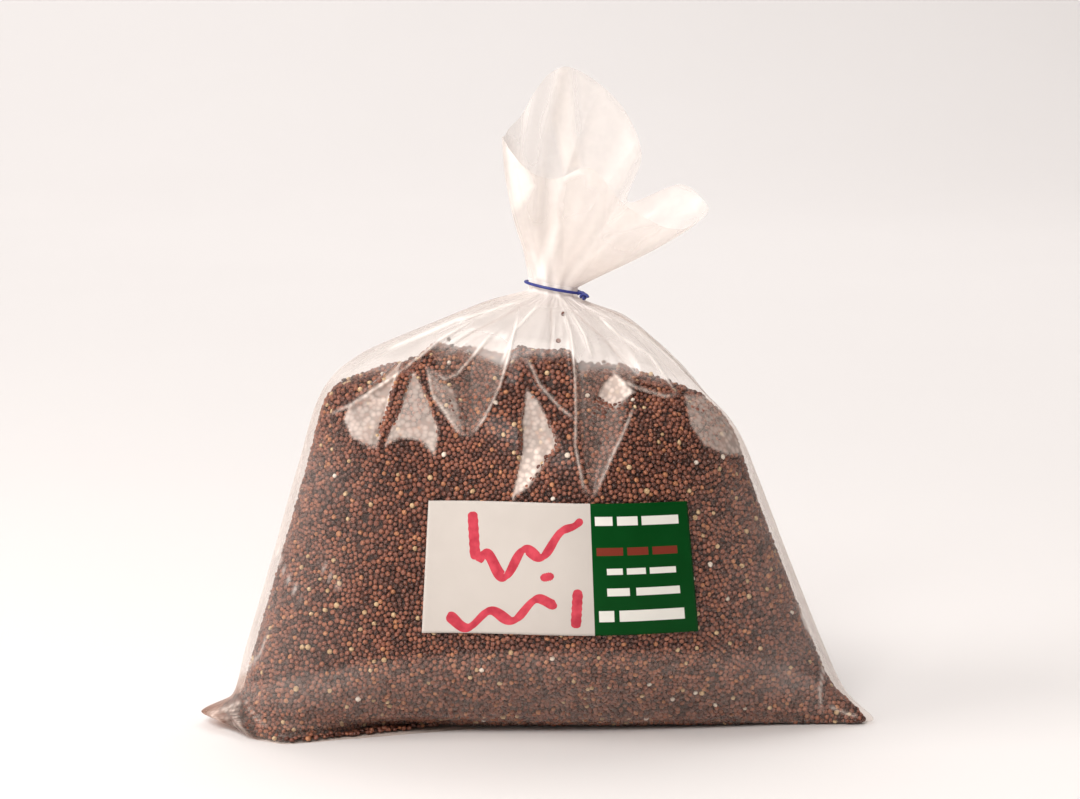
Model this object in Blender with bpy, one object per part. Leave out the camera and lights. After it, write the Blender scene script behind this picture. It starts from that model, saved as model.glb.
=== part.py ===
"""A clear plastic bag of quinoa that stands on its base, tied at the neck, with a sticker on the front.

Metres, +Z up. The origin is on the ground under the middle of the bag, the sticker faces -Y
and the higher shoulder of the bag is towards -X. Lengths below are in millimetres.
"""

import math

import bmesh
import bpy
import numpy as np
from mathutils import Vector
from mathutils.bvhtree import BVHTree

MM = 0.001

# The bag as a stack of rounded cross-sections. Each row gives the height on the bag's axis, the
# rise and the drift towards the back per millimetre towards +X, the left and right ends, the
# front and back, and the power of the outline, where 2 is an ellipse and more is squarer.
SECTIONS = {
    "contact": (0.0, 0.0, 0.04, -104.0, 108.0, -13.6, 31.0, 2.3),
    "ear": (2.8, -0.012, 0.0, -124.5, 124.5, -19.5, 40.0, 1.7),
    "hem": (10.0, 0.0, 0.03, -113.5, 115.0, -29.5, 46.0, 2.3),
    "belly": (28.0, 0.0, 0.04, -108.2, 106.5, -38.5, 50.5, 2.4),
    "waist": (60.0, 0.0, 0.02, -98.6, 93.5, -37.0, 49.0, 2.4),
    "chest": (92.0, -0.03, 0.0, -88.6, 82.0, -33.0, 42.0, 2.4),
    "shoulder": (116.0, -0.09, 0.0, -79.0, 73.5, -30.0, 33.0, 2.3),
    "shoulder_top": (129.5, -0.105, 0.0, -65.0, 61.5, -24.0, 26.0, 2.2),
    "tent": (142.0, -0.075, 0.0, -45.0, 47.0, -18.0, 19.0, 2.1),
    "tent_top": (153.0, -0.07, 0.0, -22.5, 31.0, -11.5, 12.0, 2.0),
    "gather": (159.0, -0.14, 0.0, -5.8, 17.6, -7.2, 7.2, 2.0),
    "neck_low": (161.0, -0.2, 0.0, -3.4, 14.8, -5.8, 5.8, 2.0),
    "neck_high": (164.4, -0.2, 0.0, -3.4, 14.8, -5.8, 5.8, 2.0),
}
RINGS_PER_SPAN = (2, 2, 2, 3, 3, 3, 3, 3, 2, 2, 1, 1)
FRONT_COLUMNS = 54
BACK_COLUMNS = 34

# The contents fill out the bag's front left corner, low down, more than the others, and its foot
# most of all. A soft crest runs up the front, right of the middle, and the base's two ears lie a
# little forward.
CORNER_X = -92.0
CORNER_SPREAD = 29.0
CORNER_PUSH = 12.0
FOOT_PUSH = 9.5
CREST_X = 19.0
CREST_SPREAD = 44.0
CREST_PUSH = 14.0
EAR_FORWARD = 10.0

# Hollows pressed into the front of the tent below the neck. Each starts at a tip and widens
# upwards to a top. Both are given as the part of the half-width that they lie from the middle
# and the level among the sections. Then come half the width at the top, as a part of the
# half-width too, and the depth.
HOLLOWS = {
    "left_pocket": ((-0.28, 5.7), (-0.56, 8.0), 0.27, 5.0),
    "right_pocket": ((0.28, 5.0), (0.5, 8.0), 0.24, 4.5),
    "left_crease": ((-0.70, 5.4), (-0.9, 7.8), 0.13, 3.0),
    "right_crease": ((0.84, 6.0), (0.8, 8.6), 0.13, 2.4),
}
HOLLOW_END = (8.7, 10.0)
HOLLOW_TIP = 0.25
PLEAT_COUNT = 13
PLEAT_DEPTH = 1.1

# The tuft above the tie is the open mouth of the bag. Its rim runs once round, from the front
# towards +X, through these points, which rise and fall with its three lobes.
RIM = {
    "front_dip": (6.0, -13.0, 202.0),
    "front_curl": (19.0, -16.0, 206.0),
    "ear_root": (32.0, -14.0, 192.0),
    "ear_front": (50.0, -9.0, 183.5),
    "ear_tip": (61.5, -1.0, 190.0),
    "ear_back": (52.0, 7.0, 198.5),
    "saddle": (33.0, 9.0, 192.0),
    "petal_side": (38.0, 12.0, 209.0),
    "petal_shoulder": (32.0, 15.0, 225.0),
    "petal_top": (21.0, 16.0, 236.0),
    "petal_tip": (10.0, 14.0, 241.0),
    "petal_left": (1.5, 13.0, 235.0),
    "petal_root": (-6.0, 12.0, 223.0),
    "lobe_back": (-11.5, 5.0, 217.0),
    "lobe_tip": (-11.5, -5.0, 215.0),
    "lobe_front": (-4.5, -12.0, 206.0),
}
TUFT_RINGS = 8
TUFT_WALL = 1.0
TUFT_SWELL = 4.0
TUFT_FLOOR = 2.5

# The tie is one wire, bent once round the neck, with its two ends twisted together.
WIRE_RADIUS = 0.6
WIRE_SIDES = 6
WIRE_GAP = 0.45
TIE_HEIGHT = 162.7
TWIST_LENGTH = 4.5
TWIST_RADIUS = 0.85
TWIST_TURNS = 1.0
TWIST_ANGLE = 72.0
TWIST_WAY = (0.42, -0.88, -0.2)
RING_STEPS = 34
TWIST_STEPS = 14

# The sticker, as its ends across the front at its lower and upper edge, its height above the
# ground, and how much higher its middle is than its ends.
LABEL_LEFT = (-41.3, -38.8)
LABEL_RIGHT = (57.6, 53.2)
LABEL_RISE = (42.0, 89.0)
LABEL_BOW = 1.4
LABEL_THICKNESS = 0.3
LABEL_GAP = 0.4
LABEL_CELLS = (26, 10)

FILM_COLOUR = (0.36, 0.23, 0.19, 1.0)
TIE_COLOUR = (0.07, 0.10, 0.42, 1.0)
LABEL_COLOUR = (0.84, 0.78, 0.72, 1.0)


def clear_scene():
    """Remove whatever the file holds."""
    for item in list(bpy.data.objects):
        bpy.data.objects.remove(item, do_unlink=True)


def finish(name, colour, roughness):
    """A plain surface finish of one colour."""
    material = bpy.data.materials.new(name)
    material.use_nodes = True
    shader = material.node_tree.nodes["Principled BSDF"]
    shader.inputs["Base Color"].default_value = colour
    shader.inputs["Roughness"].default_value = roughness
    shader.inputs["Metallic"].default_value = 0.0
    return material


def smooth_between(rows, at, closed=False):
    """Values on the smooth curve through rows, at places counted in rows (Catmull-Rom)."""
    rows = np.asarray(rows, dtype=float)
    count = len(rows)
    start = np.floor(at).astype(int)
    if closed:
        pick = [rows[(start + step) % count] for step in (-1, 0, 1, 2)]
    else:
        start = np.clip(start, 0, count - 2)
        pick = [rows[np.clip(start + step, 0, count - 1)] for step in (-1, 0, 1, 2)]
    t = (at - start)[..., None]
    before, here, after, beyond = pick
    return 0.5 * (
        2 * here
        + (after - before) * t
        + (2 * before - 5 * here + 4 * after - beyond) * t**2
        + (3 * here - before - 3 * after + beyond) * t**3
    )


def ramp(value, low, high):
    """0 below low, 1 above high, and a smooth rise between them."""
    t = np.clip((value - low) / (high - low), 0.0, 1.0)
    return t * t * (3.0 - 2.0 * t)


def hollow_depth(across, level):
    """How far the front is pressed in: each hollow is a V that widens upwards, with a round floor."""
    depth = np.zeros_like(across)
    for (tip, tip_level), (top, top_level), width, most in HOLLOWS.values():
        along = np.clip((level - tip_level) / (top_level - tip_level), 0.0, 1.0)
        middle = tip + (top - tip) * along
        half = width * np.maximum(along, HOLLOW_TIP)
        floor = (1.0 - np.clip(np.abs(across - middle) / half, 0.0, 1.0) ** 2) ** 1.5
        depth += most * floor * ramp(along, 0.0, HOLLOW_TIP * 2)
    return depth * (1.0 - ramp(level, *HOLLOW_END))


def skin(angle, level):
    """Points of the bag's side: angle runs round from the front to +X, level counts sections.

    The section is a superellipse. Pleats push it in and out by a cosine of the angle, and they
    fade out downwards and at the neck. The hollows press in its front half. The front left
    corner is pushed out near the ground, and the crest further up, each by a bell curve.
    """
    height, rise, drift, left, right, front, back, power = np.moveaxis(
        smooth_between(list(SECTIONS.values()), level), -1, 0
    )
    sine, cosine = np.sin(angle), np.cos(angle)
    middle, half = 0.5 * (left + right), 0.5 * (right - left)
    x = middle + half * sine
    y = np.where(cosine > 0, front, back) * (1.0 - np.abs(sine) ** power) ** (1.0 / power)
    names = list(SECTIONS)
    tented = ramp(level, names.index("chest"), names.index("tent"))
    tented = tented * (1.0 - ramp(level, names.index("tent_top"), names.index("neck_low")))
    wave = np.cos(PLEAT_COUNT * angle + 0.8) + 0.6 * np.cos((PLEAT_COUNT - 4) * angle + 2.1)
    push = 1.0 + PLEAT_DEPTH * tented * wave / np.maximum(half, 12.0)
    x = middle + (x - middle) * push
    y = y * push
    z = height + rise * x
    y = y + hollow_depth(sine, level) * ramp(cosine, 0.0, 0.35)
    low = CORNER_PUSH * (1.0 - ramp(level, names.index("hem"), names.index("waist")))
    foot = FOOT_PUSH * (1.0 - ramp(level, names.index("ear"), names.index("hem")))
    bulge = (low + foot) * np.exp(-(((x - CORNER_X) / CORNER_SPREAD) ** 2))
    chest = ramp(level, names.index("hem"), names.index("waist"))
    chest = chest * (1.0 - ramp(level, names.index("chest"), names.index("shoulder_top")))
    bulge = bulge + CREST_PUSH * chest * np.exp(-(((x - CREST_X) / CREST_SPREAD) ** 2))
    ears = EAR_FORWARD * np.abs(sine) ** 6 * (1.0 - ramp(level, names.index("ear"), names.index("belly")))
    y = y + drift * x - bulge * ramp(cosine, 0.0, 0.5) - ears
    return np.stack([x, y, z], axis=-1)


def tuft_rings(angle):
    """The tuft's outer rings: each column runs from the neck to its point on the rim."""
    neck = skin(angle, np.full_like(angle, len(SECTIONS) - 1.0))
    turn = np.mod(angle / (2 * math.pi), 1.0)
    rim = smooth_between(list(RIM.values()), turn * len(RIM), closed=True)
    outward = np.stack([np.sin(angle), -np.cos(angle), np.zeros_like(angle)], axis=-1)
    rings = []
    for step in range(1, TUFT_RINGS + 1):
        t = step / TUFT_RINGS
        swell = TUFT_SWELL * math.sin(math.pi * t) * (0.35 + 0.65 * t)
        rings.append(neck * (1 - t) + rim * t + outward * swell)
    return rings


def ring_normals(rings):
    """Outward normals of a stack of closed rings, from the two ways along its grid."""
    grid = np.array(rings)
    around = np.roll(grid, -1, axis=1) - np.roll(grid, 1, axis=1)
    up = np.gradient(grid, axis=0)
    normal = np.cross(around, up)
    return normal / np.linalg.norm(normal, axis=-1, keepdims=True)


def closed_stack(name, rings, foot, crown):
    """A mesh of closed rings joined one to the next, with a point closing each end."""
    shape = bmesh.new()
    rows = [[shape.verts.new(Vector(point) * MM) for point in ring] for ring in rings]
    count = len(rows[0])
    for lower, upper in zip(rows, rows[1:]):
        for i in range(count):
            j = (i + 1) % count
            shape.faces.new((lower[i], lower[j], upper[j]))
            shape.faces.new((lower[i], upper[j], upper[i]))
    first = shape.verts.new(Vector(foot) * MM)
    last = shape.verts.new(Vector(crown) * MM)
    for i in range(count):
        j = (i + 1) % count
        shape.faces.new((first, rows[0][j], rows[0][i]))
        shape.faces.new((last, rows[-1][i], rows[-1][j]))
    bmesh.ops.recalc_face_normals(shape, faces=shape.faces)
    mesh = bpy.data.meshes.new(name)
    shape.to_mesh(mesh)
    shape.free()
    return mesh


def add(name, mesh, material):
    """Put a mesh in the scene as one named, smooth-shaded sub-part."""
    mesh.materials.append(material)
    mesh.shade_smooth()
    mesh.set_sharp_from_angle(angle=math.radians(50))
    piece = bpy.data.objects.new(name, mesh)
    bpy.context.scene.collection.objects.link(piece)
    return piece


def make_bag():
    """The filled body, the neck and the open tuft, as one closed skin."""
    front_half = np.linspace(-0.5 * math.pi, 0.5 * math.pi, FRONT_COLUMNS, endpoint=False)
    back_half = np.linspace(0.5 * math.pi, 1.5 * math.pi, BACK_COLUMNS, endpoint=False)
    angle = np.concatenate([front_half, back_half])
    levels = [0.0]
    for span, count in enumerate(RINGS_PER_SPAN):
        levels += [span + (step + 1) / count for step in range(count)]
    body = [skin(angle, np.full_like(angle, level)) for level in levels]
    base = body[0]
    base_middle = base.mean(axis=0)
    inner_base = base_middle + 0.6 * (base - base_middle)
    tuft = tuft_rings(angle)
    outer = body + tuft
    inward = ring_normals(outer)[len(body) :]
    inside = [ring - TUFT_WALL * normal for ring, normal in zip(tuft, inward)]
    neck_middle = body[-1].mean(axis=0)
    crown = neck_middle + np.array([0.0, 0.0, TUFT_FLOOR])
    rings = [inner_base] + outer + inside[:0:-1]
    mesh = closed_stack("bag", rings, base_middle, crown)
    return add("bag", mesh, finish("clear_film", FILM_COLOUR, 0.15))


def wire(name, path):
    """A round wire with flat ends along a path, carried without twisting."""
    curve = bpy.data.curves.new(name, "CURVE")
    curve.dimensions = "3D"
    curve.bevel_depth = WIRE_RADIUS * MM
    curve.bevel_resolution = WIRE_SIDES // 2 - 2
    curve.use_fill_caps = True
    spline = curve.splines.new("POLY")
    spline.points.add(len(path) - 1)
    for point, place in zip(spline.points, path):
        point.co = (*(Vector(place) * MM), 1.0)
    return curve


def tie_path():
    """The wire's route: a helix along the twist, once round the neck, and back along the twist."""
    neck = np.array(SECTIONS["neck_low"])
    reach = WIRE_GAP + WIRE_RADIUS
    middle_x, half_x = 0.5 * (neck[3] + neck[4]), 0.5 * (neck[4] - neck[3]) + reach
    half_y = neck[6] + reach
    rise = neck[1]
    open_half = math.asin(TWIST_RADIUS / half_x) * 1.9
    start = math.radians(TWIST_ANGLE)
    turns = np.linspace(start + open_half, start + 2 * math.pi - open_half, RING_STEPS)
    ring_x = middle_x + half_x * np.sin(turns)
    ring = np.stack([ring_x, -half_y * np.cos(turns), TIE_HEIGHT + rise * ring_x], axis=-1)
    way = np.array(TWIST_WAY) / np.linalg.norm(TWIST_WAY)
    side = np.cross(way, (0.0, 0.0, 1.0))
    side /= np.linalg.norm(side)
    over = np.cross(side, way)
    root = 0.5 * (ring[0] + ring[-1]) + 1.1 * way
    if np.dot(ring[0] - ring[-1], side) < 0:
        side, over = -side, -over

    def strand(phase):
        t = np.linspace(0.0, 1.0, TWIST_STEPS)[:, None]
        turn = phase + 2 * math.pi * TWIST_TURNS * t
        spread = TWIST_RADIUS * (np.cos(turn) * side + np.sin(turn) * over)
        return root + way * TWIST_LENGTH * t + spread

    return np.concatenate([strand(0.0)[::-1], ring, strand(math.pi)])


def make_tie():
    """The thin coloured wire that closes the neck."""
    curve = wire("tie", tie_path())
    curve.materials.append(finish("tie_wire", TIE_COLOUR, 0.4))
    piece = bpy.data.objects.new("tie", curve)
    bpy.context.scene.collection.objects.link(piece)
    return piece


def make_label(bag):
    """The sticker: a thin sheet laid on the bag's front, a small gap in front of the film."""
    tree = BVHTree.FromPolygons([v.co for v in bag.data.vertices], [p.vertices for p in bag.data.polygons])
    columns, rows = LABEL_CELLS
    places = []
    for j in range(rows + 1):
        for i in range(columns + 1):
            across, up = i / columns, j / rows
            left = LABEL_LEFT[0] + (LABEL_LEFT[1] - LABEL_LEFT[0]) * up
            right = LABEL_RIGHT[0] + (LABEL_RIGHT[1] - LABEL_RIGHT[0]) * up
            x = left + (right - left) * across
            z = LABEL_RISE[0] + (LABEL_RISE[1] - LABEL_RISE[0]) * up
            z += LABEL_BOW * (1.0 - (2.0 * across - 1.0) ** 2)
            hit = tree.ray_cast(Vector((x, -200.0, z)) * MM, Vector((0.0, 1.0, 0.0)))[0]
            places.append((x, hit.y / MM, z))
    places = np.array(places).reshape(rows + 1, columns + 1, 3)
    shape = bmesh.new()
    sheets = []
    for stand_off in (LABEL_GAP, LABEL_GAP + LABEL_THICKNESS):
        moved = places - np.array([0.0, stand_off, 0.0])
        sheets.append([[shape.verts.new(Vector(place) * MM) for place in row] for row in moved])
    for sheet in sheets:
        for j in range(rows):
            for i in range(columns):
                corner, right = sheet[j][i], sheet[j][i + 1]
                above, across = sheet[j + 1][i], sheet[j + 1][i + 1]
                shape.faces.new((corner, right, across))
                shape.faces.new((corner, across, above))
    edge = [(0, i) for i in range(columns)]
    edge += [(j, columns) for j in range(rows)]
    edge += [(rows, i) for i in range(columns, 0, -1)]
    edge += [(j, 0) for j in range(rows, 0, -1)]
    for (j, i), (k, n) in zip(edge, edge[1:] + edge[:1]):
        shape.faces.new((sheets[0][j][i], sheets[0][k][n], sheets[1][k][n], sheets[1][j][i]))
    bmesh.ops.recalc_face_normals(shape, faces=shape.faces)
    mesh = bpy.data.meshes.new("label")
    shape.to_mesh(mesh)
    shape.free()
    return add("label", mesh, finish("label_paper", LABEL_COLOUR, 0.45))


clear_scene()
bag_piece = make_bag()
make_tie()
make_label(bag_piece)
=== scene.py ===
"""A clear bag of red quinoa that stands on its base, tied at the neck with a blue wire tie.

Lengths in the sizes below are millimetres; meshes are made in metres. The bag stands at the
origin, +Z is up and the sticker faces -Y.
"""
import math

import bpy
import numpy as np
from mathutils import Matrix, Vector, kdtree
from mathutils.bvhtree import BVHTree


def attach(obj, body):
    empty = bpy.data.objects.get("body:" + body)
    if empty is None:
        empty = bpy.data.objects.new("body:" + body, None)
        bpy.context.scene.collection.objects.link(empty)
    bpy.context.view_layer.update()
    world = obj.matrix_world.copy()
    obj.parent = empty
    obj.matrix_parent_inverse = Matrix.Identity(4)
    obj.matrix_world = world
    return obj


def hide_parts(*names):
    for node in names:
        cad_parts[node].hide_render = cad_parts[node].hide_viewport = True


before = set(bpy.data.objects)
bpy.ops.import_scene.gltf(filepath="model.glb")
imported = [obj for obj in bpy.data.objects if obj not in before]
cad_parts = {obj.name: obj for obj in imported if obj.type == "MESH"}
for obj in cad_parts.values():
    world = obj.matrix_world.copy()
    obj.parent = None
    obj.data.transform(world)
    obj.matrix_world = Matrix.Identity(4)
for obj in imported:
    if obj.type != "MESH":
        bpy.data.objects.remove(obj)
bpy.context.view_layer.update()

MM = 0.001
rng = np.random.default_rng(7)


# The bag: a lay-flat tube of clear film, heat-sealed across the bottom and filled, so that it
# bulges over its base and leaves a flat ear at each bottom corner. Its sides follow the fill, and
# above the fill it is drawn in to the neck in pleats and taut flat panes.

# Each section: height on the axis, rise and drift towards the back per millimetre towards +X,
# left and right ends, front and back, and the power of the outline.
SECTIONS = {
    "contact": (0.0, 0.0, 0.04, -104.0, 108.0, -13.6, 31.0, 2.3),
    "ear": (2.8, -0.012, 0.0, -124.5, 124.5, -19.5, 40.0, 1.7),
    "hem": (10.0, 0.0, 0.03, -113.5, 115.0, -29.5, 46.0, 2.3),
    "belly": (28.0, 0.0, 0.04, -108.2, 106.5, -38.5, 50.5, 2.4),
    "waist": (60.0, 0.0, 0.02, -98.6, 93.5, -37.0, 49.0, 2.4),
    "chest": (92.0, -0.03, 0.0, -88.6, 82.0, -33.0, 42.0, 2.4),
    "shoulder": (116.0, -0.09, 0.0, -79.0, 73.5, -30.0, 33.0, 2.3),
    "shoulder_top": (129.5, -0.105, 0.0, -65.0, 61.5, -24.0, 26.0, 2.2),
    "tent": (142.0, -0.075, 0.0, -45.0, 47.0, -18.0, 19.0, 2.1),
    "tent_top": (153.0, -0.07, 0.0, -22.5, 31.0, -11.5, 12.0, 2.0),
    "gather": (159.0, -0.14, 0.0, -5.8, 17.6, -7.2, 7.2, 2.0),
    "neck_low": (161.0, -0.2, 0.0, -3.4, 14.8, -5.8, 5.8, 2.0),
    "neck_high": (164.4, -0.2, 0.0, -3.4, 14.8, -5.8, 5.8, 2.0),
}
LEVEL = {name: place for place, name in enumerate(SECTIONS)}
CORNER_X, CORNER_SPREAD, CORNER_PUSH, FOOT_PUSH = -92.0, 29.0, 12.0, 9.5
CREST_X, CREST_SPREAD, CREST_PUSH = 19.0, 44.0, 14.0
EAR_FORWARD = 10.0


def smooth_between(rows, at, closed=False):
    """Values on the Catmull-Rom curve through rows, at places counted in rows.

    Between two rows the value is a cubic in the part t of the way, whose slope at each row is
    half the step between that row's two neighbours.
    """
    rows = np.asarray(rows, dtype=float)
    count = len(rows)
    start = np.floor(at).astype(int)
    if closed:
        pick = [rows[(start + step) % count] for step in (-1, 0, 1, 2)]
    else:
        start = np.clip(start, 0, count - 2)
        pick = [rows[np.clip(start + step, 0, count - 1)] for step in (-1, 0, 1, 2)]
    t = (at - start)[..., None]
    before, here, after, beyond = pick
    return 0.5 * (
        2 * here
        + (after - before) * t
        + (2 * before - 5 * here + 4 * after - beyond) * t**2
        + (3 * here - before - 3 * after + beyond) * t**3
    )


def ramp(value, low, high):
    """0 below low, 1 above high, and 3t^2 - 2t^3 of the part t of the way between them."""
    t = np.clip((value - low) / (high - low), 0.0, 1.0)
    return t * t * (3.0 - 2.0 * t)


def rising(level, low, high):
    """The ramp of the level from one named section to another."""
    return ramp(level, LEVEL[low], LEVEL[high])


def section_shape(angle, level, inset=0.0, side_inset=0.0):
    """The bag's plain form: a superellipse at every level. Bell curves of x push out the front left
    corner near the ground and a crest further up, and the ears lie forward.

    angle runs round from the front towards +X. inset and side_inset bring the front and back and
    the two sides in towards the axis.
    """
    height, rise, drift, left, right, front, back, power = np.moveaxis(
        smooth_between(list(SECTIONS.values()), np.clip(level, 0, len(SECTIONS) - 1)), -1, 0
    )
    sine, cosine = np.sin(angle), np.cos(angle)
    middle, half = 0.5 * (left + right), 0.5 * (right - left) - side_inset
    depth = np.where(cosine > 0, front + inset, back - inset)
    x = middle + half * sine
    y = depth * (1.0 - np.abs(sine) ** power) ** (1.0 / power)
    low = CORNER_PUSH * (1.0 - rising(level, "hem", "waist"))
    foot = FOOT_PUSH * (1.0 - rising(level, "ear", "hem"))
    bulge = (low + foot) * np.exp(-(((x - CORNER_X) / CORNER_SPREAD) ** 2))
    chest = rising(level, "hem", "waist")
    chest = chest * (1.0 - rising(level, "chest", "shoulder_top"))
    bulge = bulge + CREST_PUSH * chest * np.exp(-(((x - CREST_X) / CREST_SPREAD) ** 2))
    ears = EAR_FORWARD * np.abs(sine) ** 6 * (1.0 - rising(level, "ear", "belly"))
    y = y + drift * x - bulge * ramp(cosine, 0.0, 0.5) - ears
    return x, y, height + rise * x, half


# Flat panes that the taut film makes between its folds: corners (x, z) seen from the front, a place
# (x, y, z) that the pane goes through, its slopes towards the back per millimetre to +X and up, and
# how milky it looks, which is a painted reflection of the soft front light. A pane with no place keeps
# the bag's own form.
PANES = {
    "left_outer": (((-68, 121), (-70, 116), (-67, 110), (-61, 107), (-57.5, 106.5), (-52.5, 124), (-49, 137),
                    (-56, 131)), (-61.0, -25.3, 109.0), (-0.084, 0.479), 0.46),
    "left_inner": (((-55, 107), (-49, 110.5), (-42, 110), (-36.5, 104.5), (-35, 114), (-39, 124), (-44, 133),
                    (-46, 133), (-50, 121)), (-38.0, -32.3, 106.0), (-0.10, 0.483), 0.40),
    "middle": (((-9, 91.5), (-3, 95.5), (2.5, 103.5), (8, 109.5), (4, 117.5), (0, 124.5), (-4, 128),
                (-6, 118), (-6.5, 106)), (-8.0, -42.8, 92.0), (-0.142, 0.489), 0.48),
    "middle_low": (((-9, 91.5), (-3, 95.5), (2.5, 103.5), (0, 109), (-6, 107)), None, None, 0.28),
    "right_inner": (((20, 123), (23.5, 129), (28, 132), (35.5, 126), (27, 120.5)),
                    (24.0, -23.2, 122.5), (-0.12, 0.43), 0.50),
    "pocket_wall": (((-40, 135), (-36, 131.5), (-30, 127.5), (-25.8, 113.6), (-29.7, 115), (-37.4, 124)),
                    None, None, 0.26),
    "right_outer": (((53, 124), (55, 114), (60, 107), (68, 103), (76, 101), (82, 112), (66, 122)),
                    None, None, 0.32),
}
PANE_EDGE = 1.3

# Where the film looks darker: corners (x, z) and how much. The floor of the deep left pocket is
# painted shade, and the left ear's folded film lies in layers.
SHADES = {
    "pocket_floor_shade": (((-24, 116), (-27, 124), (-24, 139), (-17, 139), (-19, 126), (-22, 116)), 0.24),
    "left_flap": (((-126, -6), (-126, 14), (-112, 18), (-107, 12), (-102, 4), (-98, -6)), 0.95),
}

# Pockets hang between two folds that meet at a tip: the tip, the top, half the width, the depth,
# and how milky they look: haze of the free film with a dim painted reflection.
POCKETS = {
    "left": ((-24.0, 112.0), (-24.0, 140.0), 15.0, 5.5, 0.10),
    "right": ((19.3, 92.0), (25.0, 134.0), 12.5, 3.6, 0.11),
}

# Single folds: their points (x, z), height out of the film (below zero a groove), half width.
FOLDS = {
    "left_ridge": (((-21, 152), (-35, 144), (-52, 131), (-64, 123), (-77, 116)), 1.2, 2.0),
    "left_groove": (((-45, 141), (-50, 129), (-54.5, 117), (-59, 107)), -1.5, 1.8),
    "left_groove_twin": (((-42, 141), (-46.5, 129), (-51, 117), (-57, 106)), -1.3, 1.6),
    "left_lip": (((-63, 125), (-57, 122.5), (-52, 122.5)), 0.8, 1.2),
    "pocket_lip": (((-40, 135), (-33, 131), (-29, 132), (-22.6, 139), (-17, 146)), 1.1, 1.6),
    "pocket_left_rim": (((-40, 136), (-37.5, 126), (-32, 119), (-28.5, 114), (-24, 112)), 1.0, 1.1),
    "pocket_right_rim": (((-24, 112), (-18.5, 119), (-13.4, 129), (-9.5, 142), (-6.5, 155)), 1.0, 1.1),
    "middle_diagonal": (((-4, 139), (1, 129), (8, 122), (13.5, 118)), 1.0, 1.8),
    "middle_edge": (((12.3, 146), (13.6, 131), (13.8, 120), (13.4, 110), (16.2, 96.5), (19.3, 92)), 1.8, 1.5),
    "right_rim": (((19.3, 92), (22, 97), (26.6, 106.5), (31.3, 115), (35, 122)), 0.9, 1.1),
    "right_lip": (((26.8, 132.5), (31, 129.5), (37, 127), (46, 124), (51, 124.5)), 1.1, 1.3),
    "right_streak": (((22, 152), (30, 145), (41, 138), (46, 131), (51, 124)), 1.2, 2.2),
    "right_cheek": (((12, 154), (17, 146), (20, 138)), 0.7, 1.5),
    "low_left": (((-104, 36), (-96, 45), (-93, 56)), -0.6, 2.0),
    "low_left_twin": (((-106, 24), (-101, 30), (-98, 38)), 0.5, 1.2),
    "ear_crease": (((-107, 14), (-103, 9), (-98, 5)), 0.6, 1.4),
    "ear_ridge": (((-113, 11), (-109, 5), (-104, 0.5), (-100, -4)), 1.8, 2.2),
    "ear_fan": (((-108, 12), (-114, 8), (-122, 5)), 1.4, 1.8),
    "ear_fan_low": (((-108, 7), (-113, 4), (-119, 2)), -1.8, 2.0),
    "ear_fold": (((-121, 6), (-117, 4), (-114, 0)), 1.5, 1.6),
    "ear_fold_low": (((-117, 7), (-113, 5.5), (-110, 1)), -1.6, 1.7),
    "left_streak": (((-97, 70), (-92, 59), (-85, 51)), 0.8, 1.1),
    "left_streak_low": (((-78, 64), (-73, 58), (-68, 55)), 0.6, 1.0),
    "low_right": (((96, 44), (99, 37), (104, 31), (108, 24)), 1.8, 2.0),
    "low_right_twin": (((101, 46), (105, 36), (110, 24)), -1.6, 2.4),
    "corner_right": (((106, 23), (104, 14), (104.5, 5)), 1.7, 1.9),
    "ear_right": (((109, 18), (114, 10), (120, 4)), -1.4, 2.0),
    "ear_right_low": (((107, 8), (113, 5), (119, 3)), 1.0, 1.6),
    "tent_far_left": (((-4, 158), (-30, 150), (-56, 139)), 0.9, 1.5),
    "tent_left": (((-3, 157), (-22, 147), (-38, 137)), -0.9, 1.5),
    "tent_mid_left": (((1, 157), (-8, 148), (-13, 136)), 0.8, 1.3),
    "tent_middle": (((5, 157), (5, 146), (4, 137)), -0.8, 1.4),
    "tent_mid_right": (((9, 156), (12, 147), (14, 136)), 0.8, 1.3),
    "tent_right": (((11, 156), (24, 144), (36, 131)), -0.9, 1.5),
    "tent_far_right": (((14, 157), (36, 147), (58, 128)), 0.8, 1.5),
}
BACK_FOLDS = {
    "left": (((-12, 152), (-34, 136), (-50, 112)), 1.5, 3.0),
    "middle": (((0, 154), (-6, 130), (-10, 104)), -1.8, 3.0),
    "right": (((14, 154), (30, 132), (40, 104)), 1.6, 2.6),
    "far_right": (((20, 150), (48, 128), (66, 104)), -1.6, 2.6),
}
LINE_HALF = 0.85

# Pleats: how many, their height, the bag's least half width for that height, and how far, as a
# part of the radius, the film is drawn in at the neck.
PLEATS, PLEAT_HEIGHT, PLEAT_RADIUS, GATHER_DEPTH = 13, 0.9, 12.0, 0.11


def inside_polygon(x, z, corners):
    """Distance inside a polygon, positive within: the least distance to its edges, signed by
    whether a ray towards +X crosses them an odd number of times."""
    corners = np.asarray(corners, dtype=float)
    nearest = np.full(x.shape, np.inf)
    odd = np.zeros(x.shape, dtype=bool)
    for (x0, z0), (x1, z1) in zip(corners, np.roll(corners, -1, axis=0)):
        along = np.clip(
            ((x - x0) * (x1 - x0) + (z - z0) * (z1 - z0)) / ((x1 - x0) ** 2 + (z1 - z0) ** 2), 0.0, 1.0
        )
        nearest = np.minimum(nearest, np.hypot(x - x0 - along * (x1 - x0), z - z0 - along * (z1 - z0)))
        spans = (z0 > z) != (z1 > z)
        run = (x1 - x0) / (z1 - z0) if z1 != z0 else 0.0
        odd ^= spans & (x < x0 + (z - z0) * run)
    return np.where(odd, nearest, -nearest)


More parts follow.
